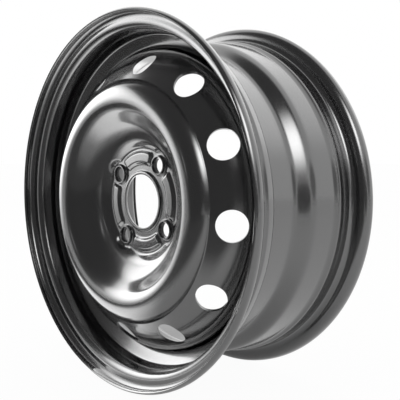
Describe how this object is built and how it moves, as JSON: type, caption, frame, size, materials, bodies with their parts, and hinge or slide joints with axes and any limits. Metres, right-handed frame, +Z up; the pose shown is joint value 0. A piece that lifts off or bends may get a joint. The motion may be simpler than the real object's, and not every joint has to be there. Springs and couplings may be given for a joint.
{
  "type": "steel wheel",
  "caption": "Pressed steel road wheel: a rolled drop-centre rim welded to a dished disc with round vents, conical bolt seats and a centre bore. Bolts to a hub and carries a tyre.",
  "frame": {"origin": "on the wheel's axis, midway between the two rim flanges", "axes": "+Y along the wheel's axis, pointing inboard to the vehicle; the outboard face looks along -Y; +Z up"},
  "size_m": [0.4148, 0.184, 0.4146],
  "materials": {
    "black_paint": "semi-gloss black dip paint over pressed steel"
  },
  "bodies": {
    "root": {"rim": "black_paint", "wheel_disc": "black_paint", "weld_beads": "black_paint"}
  },
  "joints": []
}
